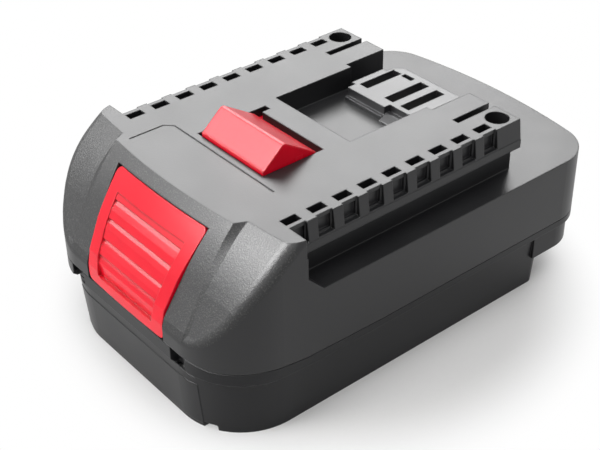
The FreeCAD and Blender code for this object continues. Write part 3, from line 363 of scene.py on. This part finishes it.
def sleeved_cell():
    material = moulding("cell_sleeve", (0.05, 0.20, 0.36), 0.30, grain=0.25, grain_scale=500.0,
                        edge=0.0003)
    nodes, links = material.node_tree.nodes, material.node_tree.links
    place = nodes.new("ShaderNodeTexCoord")
    shrink_lines = nodes.new("ShaderNodeTexWave")
    shrink_lines.bands_direction = "X"
    shrink_lines.inputs["Scale"].default_value = 60.0
    shrink_lines.inputs["Distortion"].default_value = 6.0
    links.new(place.outputs["Object"], shrink_lines.inputs["Vector"])
    shader = nodes["Principled BSDF"]
    tone = blend_colours(material, shader.inputs["Base Color"].links[0].from_socket,
                         (0.04, 0.16, 0.30), shrink_lines.outputs["Fac"])
    links.new(tone, shader.inputs["Base Color"])
    return material


dress(sleeved_cell(), "cell_1", "cell_2", "cell_3", "cell_4")
dress(moulding("ring_card", (0.55, 0.54, 0.50), 0.75, grain=0.5, grain_scale=2200.0),
      "cell_rings")

# Cell holders: a frame of dark grey plastic around each row of cell ends. They hold the pitch of
# the cells and are pushed on from both sides.

dress(moulding("holder_grey", (0.075, 0.076, 0.08), 0.48, grain=0.2),
      "cell_holder_left", "cell_holder_right")

# Nickel strips: five thin stamped links, resistance welded with four spots to each cell end, and
# five ribbons of the same strip that climb to the board.

line_stretch = 0.04
line_smooth = 0.08
line_rough = 0.10
stain_shade = 0.72


def rolled_metal(name, colour, rough, direction="Y", scale=900.0):
    """Strip metal: fine rolling lines in one direction and a few dull stains."""
    material = bpy.data.materials.new(name)
    material.use_nodes = True
    nodes, links = material.node_tree.nodes, material.node_tree.links
    shader = nodes["Principled BSDF"]
    shader.inputs["Metallic"].default_value = 1.0
    place = nodes.new("ShaderNodeTexCoord")
    stretch = nodes.new("ShaderNodeMapping")
    stretch.inputs["Scale"].default_value = {"X": (line_stretch, 1, 1), "Y": (1, line_stretch, 1),
                                             "Z": (1, 1, line_stretch)}[direction]
    lines = nodes.new("ShaderNodeTexNoise")
    lines.inputs["Scale"].default_value = scale
    lines.inputs["Detail"].default_value = 4.0
    stains = nodes.new("ShaderNodeTexNoise")
    stains.inputs["Scale"].default_value = 160.0
    links.new(place.outputs["Object"], stretch.inputs["Vector"])
    links.new(stretch.outputs["Vector"], lines.inputs["Vector"])
    links.new(place.outputs["Object"], stains.inputs["Vector"])
    bump = nodes.new("ShaderNodeBump")
    bump.inputs["Strength"].default_value = 0.15
    bump.inputs["Distance"].default_value = 0.00005
    links.new(lines.outputs["Fac"], bump.inputs["Height"])
    links.new(bump.outputs["Normal"], shader.inputs["Normal"])
    rough_range = nodes.new("ShaderNodeMapRange")
    rough_range.inputs["To Min"].default_value = rough - line_smooth
    rough_range.inputs["To Max"].default_value = rough + line_rough
    links.new(lines.outputs["Fac"], rough_range.inputs["Value"])
    links.new(rough_range.outputs["Result"], shader.inputs["Roughness"])
    tone = blend_colours(material, colour, tuple(part * stain_shade for part in colour),
                         stains.outputs["Fac"])
    links.new(tone, shader.inputs["Base Color"])
    return material


strip_nickel = rolled_metal("strip_nickel", (0.68, 0.65, 0.58), 0.30)
strips = [f"nickel_strip_{number}" for number in range(1, 6)]
dress(strip_nickel, *strips, *[f"cell_lead_{number}" for number in range(1, 6)])

spot_radius = 0.0007
spot_rise = 0.00012
spot_apart = 0.0022


def repeat_tree(name, sizes):
    """A tree that puts one small closed shape on every point of a mesh."""
    tree = bpy.data.node_groups.new(name, "GeometryNodeTree")
    face = tree.interface
    face.new_socket("Points", in_out="INPUT", socket_type="NodeSocketGeometry")
    for size in sizes:
        face.new_socket(size, in_out="INPUT", socket_type="NodeSocketFloat")
    face.new_socket("Finish", in_out="INPUT", socket_type="NodeSocketMaterial")
    face.new_socket("Geometry", in_out="OUTPUT", socket_type="NodeSocketGeometry")
    return tree, tree.nodes.new("NodeGroupInput"), tree.nodes.new("NodeGroupOutput")


def finish_tree(tree, given, result, instances):
    real = tree.nodes.new("GeometryNodeRealizeInstances")
    coat = tree.nodes.new("GeometryNodeSetMaterial")
    tree.links.new(instances, real.inputs["Geometry"])
    tree.links.new(real.outputs["Geometry"], coat.inputs["Geometry"])
    tree.links.new(given.outputs["Finish"], coat.inputs["Material"])
    tree.links.new(coat.outputs["Geometry"], result.inputs["Geometry"])
    return tree


def weld_spot_tree():
    """Flattened beads, one on each point, squeezed along X as the electrodes leave them."""
    tree, given, result = repeat_tree("weld_spots", ("Radius", "Rise"))
    nodes, links = tree.nodes, tree.links
    bead = nodes.new("GeometryNodeMeshIcoSphere")
    bead.inputs["Radius"].default_value = 1.0
    bead.inputs["Subdivisions"].default_value = 2
    squeeze = nodes.new("ShaderNodeCombineXYZ")
    links.new(given.outputs["Rise"], squeeze.inputs["X"])
    links.new(given.outputs["Radius"], squeeze.inputs["Y"])
    links.new(given.outputs["Radius"], squeeze.inputs["Z"])
    spread = nodes.new("GeometryNodeInstanceOnPoints")
    links.new(given.outputs["Points"], spread.inputs["Points"])
    links.new(bead.outputs["Mesh"], spread.inputs["Instance"])
    links.new(squeeze.outputs["Vector"], spread.inputs["Scale"])
    return finish_tree(tree, given, result, spread.outputs["Instances"])


def repeated(name, points, tree, sizes, material, body):
    """Runs a repeat tree over the points and leaves one plain mesh that rides on a body."""
    mesh = bpy.data.meshes.new(name + "_points")
    mesh.from_pydata([tuple(point) for point in points], [], [])
    carrier = bpy.data.objects.new(name + "_points", mesh)
    scene.collection.objects.link(carrier)
    modifier = carrier.modifiers.new("repeat", "NODES")
    modifier.node_group = tree
    for socket in tree.interface.items_tree:
        if socket.item_type == "SOCKET" and socket.in_out == "INPUT":
            if socket.name in sizes:
                modifier[socket.identifier] = sizes[socket.name]
            elif socket.name == "Finish":
                modifier[socket.identifier] = material
    graph = bpy.context.evaluated_depsgraph_get()
    plain = bpy.data.meshes.new_from_object(carrier.evaluated_get(graph))
    carrier.modifiers.remove(modifier)
    bpy.data.objects.remove(carrier)
    plain.name = name
    piece = bpy.data.objects.new(name, plain)
    scene.collection.objects.link(piece)
    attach(piece, body)


cell_boxes = [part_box(f"cell_{number}") for number in range(1, 5)]
spots = []
for strip in strips:
    low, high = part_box(strip)
    side = 1 if low[0] > 0 else -1
    face_x = high[0] if side > 0 else low[0]
    for cell_low, cell_high in cell_boxes:
        middle_y = (cell_low[1] + cell_high[1]) / 2
        middle_z = (cell_low[2] + cell_high[2]) / 2
        if not low[1] < middle_y < high[1]:
            continue
        for step_y in (-0.5, 0.5):
            for step_z in (-0.5, 0.5):
                spot_z = min(max(middle_z + step_z * spot_apart, low[2] + spot_radius),
                             high[2] - spot_radius)
                spots.append((face_x, middle_y + step_y * spot_apart, spot_z))
spot_metal = rolled_metal("spot_metal", (0.45, 0.42, 0.37), 0.42, scale=2500.0)
repeated("weld_spots", spots, weld_spot_tree(), {"Radius": spot_radius, "Rise": spot_rise},
         spot_metal, "case")

# Insulators: a sheet of pale fish paper on each side, between the links and the case. Each is a
# plain rectangle, cut with a steel rule.

dress(moulding("fish_paper", (0.62, 0.58, 0.46), 0.70, grain=0.45, grain_scale=1500.0,
               edge=0.0001), "insulator_left", "insulator_right")

# Board carrier: a moulded tray of dark grey plastic over the cells. It holds the board on four
# posts, and has a peg for each of the two latch springs.

dress(moulding("tray_grey", (0.060, 0.062, 0.066), 0.50, grain=0.18), "board_carrier")

# Circuit board: glass fibre laminate under green lacquer, with a woven ground and copper tracks
# that show through. It is screwed to the tray.

weave_share = 0.25


def lacquered_board():
    material = bpy.data.materials.new("board_green")
    material.use_nodes = True
    nodes, links = material.node_tree.nodes, material.node_tree.links
    shader = nodes["Principled BSDF"]
    shader.inputs["Coat Weight"].default_value = 0.3
    place = nodes.new("ShaderNodeTexCoord")
    tracks = nodes.new("ShaderNodeTexBrick")
    tracks.inputs["Scale"].default_value = 170.0
    tracks.inputs["Mortar Size"].default_value = 0.09
    tracks.inputs["Color1"].default_value = (0.010, 0.095, 0.035, 1)
    tracks.inputs["Color2"].default_value = (0.014, 0.120, 0.045, 1)
    tracks.inputs["Mortar"].default_value = (0.005, 0.055, 0.020, 1)
    links.new(place.outputs["Object"], tracks.inputs["Vector"])
    weave = nodes.new("ShaderNodeTexChecker")
    weave.inputs["Scale"].default_value = 2400.0
    links.new(place.outputs["Object"], weave.inputs["Vector"])
    thin = nodes.new("ShaderNodeMath")
    thin.operation = "MULTIPLY"
    thin.inputs[1].default_value = weave_share
    links.new(weave.outputs["Fac"], thin.inputs[0])
    tone = blend_colours(material, tracks.outputs["Color"], (0.020, 0.14, 0.05),
                         thin.outputs[0])
    links.new(tone, shader.inputs["Base Color"])
    bump = nodes.new("ShaderNodeBump")
    bump.inputs["Strength"].default_value = 0.4
    bump.inputs["Distance"].default_value = 0.00004
    links.new(tracks.outputs["Fac"], bump.inputs["Height"])
    links.new(bump.outputs["Normal"], shader.inputs["Normal"])
    gloss = nodes.new("ShaderNodeMapRange")
    gloss.inputs["To Min"].default_value = 0.22
    gloss.inputs["To Max"].default_value = 0.38
    links.new(weave.outputs["Fac"], gloss.inputs["Value"])
    links.new(gloss.outputs["Result"], shader.inputs["Roughness"])
    return material


dress(lacquered_board(), "circuit_board")

# Parts on the board: three power transistors, a controller chip with ten tinned legs and three
# capacitors, all black, and a shunt of bare resistance strip. They are soldered on.

dress(moulding("chip_black", (0.022, 0.022, 0.024), 0.55, grain=0.4, grain_scale=4500.0,
               edge=0.0002), "power_transistors", "controller_chip", "capacitors")
dress(rolled_metal("shunt_metal", (0.62, 0.42, 0.30), 0.34, direction="X"), "shunt_resistor")

leg_width = 0.00035
leg_tall = 0.00055
leg_long = 0.0011
leg_pitch = 0.00127
legs_a_side = 5
leg_shown = 0.4


def chip_leg_tree():
    """Tinned legs, one on each point: a short tapered foot with a chamfered top."""
    tree, given, result = repeat_tree("chip_legs", ("Width", "Length", "Height"))
    nodes, links = tree.nodes, tree.links
    foot = nodes.new("GeometryNodeMeshCone")
    foot.inputs["Vertices"].default_value = 4
    foot.inputs["Radius Top"].default_value = 0.5
    foot.inputs["Radius Bottom"].default_value = 0.7071
    foot.inputs["Depth"].default_value = 1.0
    square = nodes.new("GeometryNodeTransform")
    square.inputs["Rotation"].default_value = (0, 0, math.pi / 4)
    links.new(foot.outputs["Mesh"], square.inputs["Geometry"])
    size = nodes.new("ShaderNodeCombineXYZ")
    links.new(given.outputs["Length"], size.inputs["X"])
    links.new(given.outputs["Width"], size.inputs["Y"])
    links.new(given.outputs["Height"], size.inputs["Z"])
    spread = nodes.new("GeometryNodeInstanceOnPoints")
    links.new(given.outputs["Points"], spread.inputs["Points"])
    links.new(square.outputs["Geometry"], spread.inputs["Instance"])
    links.new(size.outputs["Vector"], spread.inputs["Scale"])
    return finish_tree(tree, given, result, spread.outputs["Instances"])


chip_low, chip_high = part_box("controller_chip")
legs = []
chip_middle = (chip_low[1] + chip_high[1]) / 2
for side_x in (chip_low[0] - leg_long * leg_shown, chip_high[0] + leg_long * leg_shown):
    for step in range(legs_a_side):
        offset = (step - (legs_a_side - 1) / 2) * leg_pitch
        legs.append((side_x, chip_middle + offset, chip_low[2]))
solder_tin = rolled_metal("solder_tin", (0.70, 0.70, 0.69), 0.35, scale=3000.0)
repeated("chip_legs", legs, chip_leg_tree(),
         {"Width": leg_width, "Length": leg_long, "Height": leg_tall},
         solder_tin, "case")

# Thermistor: a bead of black epoxy on two wires from the board, which hangs in the gap between the
# two middle cells.

dress(moulding("bead_epoxy", (0.028, 0.024, 0.022), 0.28, grain=0.3, grain_scale=1500.0,
               edge=0.0003), "thermistor")

# Contacts: bent from tinned sheet metal. Three are pairs of blades on a base with a leg down to
# the board, and the coding contact is one plain blade. They stand in the slots of the block.

dress(rolled_metal("contact_tin", (0.42, 0.40, 0.36), 0.32, direction="Y", scale=1400.0),
      "contact_negative", "contact_signal", "contact_positive", "contact_coding")

# Terminal block: the moulded black carrier of the contacts, smoother on top than the case. It
# stands on feet on the board, under the open pocket.

dress(moulding("block_black", (0.018, 0.018, 0.020), 0.34, grain=0.08), "terminal_block")

# Latch and release button: both moulded in red acetal with a soft sheen. The button is pushed back
# and its ramp draws the latch down. The red of the folds is made deeper to stand in for their
# shadow, as the light is flat there.

pure_red = (0.90, 0.002, 0.022)
deep_red = (0.50, 0.0, 0.008)
worn_red = (0.95, 0.09, 0.11)
fold_reach = 0.002


def red_acetal(name, rough, edge):
    material = moulding(name, pure_red, rough, grain=0.08, grain_scale=1600.0, edge=edge,
                        level=0.26, worn=worn_red)
    nodes, links = material.node_tree.nodes, material.node_tree.links
    shader = nodes["Principled BSDF"]
    folds = nodes.new("ShaderNodeAmbientOcclusion")
    folds.samples = 8
    folds.only_local = True
    folds.inputs["Distance"].default_value = fold_reach
    open_face = nodes.new("ShaderNodeMapRange")
    open_face.inputs["From Min"].default_value = 0.45
    open_face.inputs["From Max"].default_value = 0.95
    links.new(folds.outputs["AO"], open_face.inputs["Value"])
    tone = blend_colours(material, deep_red,
                         shader.inputs["Base Color"].links[0].from_socket,
                         open_face.outputs["Result"])
    links.new(tone, shader.inputs["Base Color"])
    return material


dress(red_acetal("latch_red", 0.26, 0.0006), "latch_hook")
dress(red_acetal("button_red", 0.24, 0.0004), "release_button")

# Latch springs: two compression springs wound from drawn steel wire. They stand on the pegs of
# the tray and reach into pockets in the latch.

dress(rolled_metal("spring_steel", (0.40, 0.40, 0.41), 0.26, direction="Z", scale=2600.0),
      "latch_spring_left", "latch_spring_right")

# Upper housing: the shell with the nose, the rails and the pocket, in the same nylon as the tub.
# The sloped nose is grainy and the rest is satin, as the mould's faces are.

grain_front = -0.0385
grain_foot = 0.0262
grain_fade = 0.0012
flat_lean = 0.985
upright_lean = 0.02
slope_lean_high = 0.955
slope_lean_low = 0.16
satin_grain = 0.12
nose_grain = 0.60
satin_rough = 0.38
nose_rough = 0.46


def nose_mask(material):
    """1 on the sloped faces of the nose above its foot line, 0 on the flat and low faces."""
    nodes, links = material.node_tree.nodes, material.node_tree.links
    place = nodes.new("ShaderNodeTexCoord")
    parts = nodes.new("ShaderNodeSeparateXYZ")
    links.new(place.outputs["Object"], parts.inputs["Vector"])
    facing = nodes.new("ShaderNodeNewGeometry")
    lean = nodes.new("ShaderNodeSeparateXYZ")
    links.new(facing.outputs["True Normal"], lean.inputs["Vector"])
    masks = []
    for socket, start, end in ((parts.outputs["Y"], grain_front, grain_front - grain_fade),
                               (parts.outputs["Z"], grain_foot - grain_fade, grain_foot),
                               (lean.outputs["Z"], flat_lean, slope_lean_high),
                               (lean.outputs["Z"], upright_lean, slope_lean_low)):
        ramp = nodes.new("ShaderNodeMapRange")
        ramp.inputs["From Min"].default_value = start
        ramp.inputs["From Max"].default_value = end
        links.new(socket, ramp.inputs["Value"])
        masks.append(ramp.outputs["Result"])
    total = masks[0]
    for mask in masks[1:]:
        product = nodes.new("ShaderNodeMath")
        product.operation = "MULTIPLY"
        links.new(total, product.inputs[0])
        links.new(mask, product.inputs[1])
        total = product.outputs[0]
    return total


def shell_black():
    """Black nylon that turns from satin to grainy on the nose."""
    material = moulding("shell_black", (0.007, 0.007, 0.008), satin_rough, grain=satin_grain,
                        level=0.42)
    nodes, links = material.node_tree.nodes, material.node_tree.links
    surface = nodes["surface"]
    shader = nodes["Principled BSDF"]
    mask = nose_mask(material)
    depth = nodes.new("ShaderNodeMapRange")
    depth.inputs["To Min"].default_value = satin_grain
    depth.inputs["To Max"].default_value = nose_grain
    links.new(mask, depth.inputs["Value"])
    links.new(depth.outputs["Result"], surface.inputs["Grain"])
    rough = nodes.new("ShaderNodeMapRange")
    rough.inputs["To Min"].default_value = satin_rough
    rough.inputs["To Max"].default_value = nose_rough
    links.new(mask, rough.inputs["Value"])
    links.new(rough.outputs["Result"], surface.inputs["Rough"])
    speckled = nodes.new("ShaderNodeMath")
    speckled.operation = "MULTIPLY"
    links.new(mask, speckled.inputs[0])
    links.new(surface.outputs["Speck"], speckled.inputs[1])
    tone = blend_colours(material, shader.inputs["Base Color"].links[0].from_socket,
                         (0.050, 0.050, 0.046), speckled.outputs[0])
    links.new(tone, shader.inputs["Base Color"])
    return material


dress(shell_black(), "upper_housing")

# Screws: zinc plated steel. Four short ones hold the board, and four long ones come up through the
# tub and close the case. The long ones have a six lobe drive in the head.

screw_zinc = rolled_metal("screw_zinc", (0.46, 0.46, 0.47), 0.30, direction="Z", scale=1800.0)
dress(screw_zinc, "board_screws", "case_screws")

drive_radius = 0.0014
lobe_radius = 0.00036
lobe_deep = 0.0012
lobe_inset = 0.0001
head_radius = 0.0028
head_reach = 1.1 * head_radius


def drive_lobe_tree():
    """Six ribs around the hole of each screw head, which make the round hole a star."""
    tree, given, result = repeat_tree("drive_lobes", ("Hole", "Lobe", "Depth"))
    nodes, links = tree.nodes, tree.links
    ring = nodes.new("GeometryNodeMeshCircle")
    ring.inputs["Vertices"].default_value = 6
    links.new(given.outputs["Hole"], ring.inputs["Radius"])
    rib = nodes.new("GeometryNodeMeshCylinder")
    rib.inputs["Vertices"].default_value = 10
    links.new(given.outputs["Lobe"], rib.inputs["Radius"])
    links.new(given.outputs["Depth"], rib.inputs["Depth"])
    star = nodes.new("GeometryNodeInstanceOnPoints")
    links.new(ring.outputs["Mesh"], star.inputs["Points"])
    links.new(rib.outputs["Mesh"], star.inputs["Instance"])
    spread = nodes.new("GeometryNodeInstanceOnPoints")
    links.new(given.outputs["Points"], spread.inputs["Points"])
    links.new(star.outputs["Instances"], spread.inputs["Instance"])
    return finish_tree(tree, given, result, spread.outputs["Instances"])


screw_low, screw_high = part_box("case_screws")
screw_points = [point.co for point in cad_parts["case_screws"].data.vertices]
heads = []
for x in (screw_low[0] + head_radius, screw_high[0] - head_radius):
    for y in (screw_low[1] + head_radius, screw_high[1] - head_radius):
        head_level = min(point.z for point in screw_points
                         if math.dist((point.x, point.y), (x, y)) < head_reach)
        heads.append((x, y, head_level + lobe_inset + lobe_deep / 2))
repeated("drive_lobes", heads, drive_lobe_tree(),
         {"Hole": drive_radius, "Lobe": lobe_radius, "Depth": lobe_deep},
         screw_zinc, "case")

low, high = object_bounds()
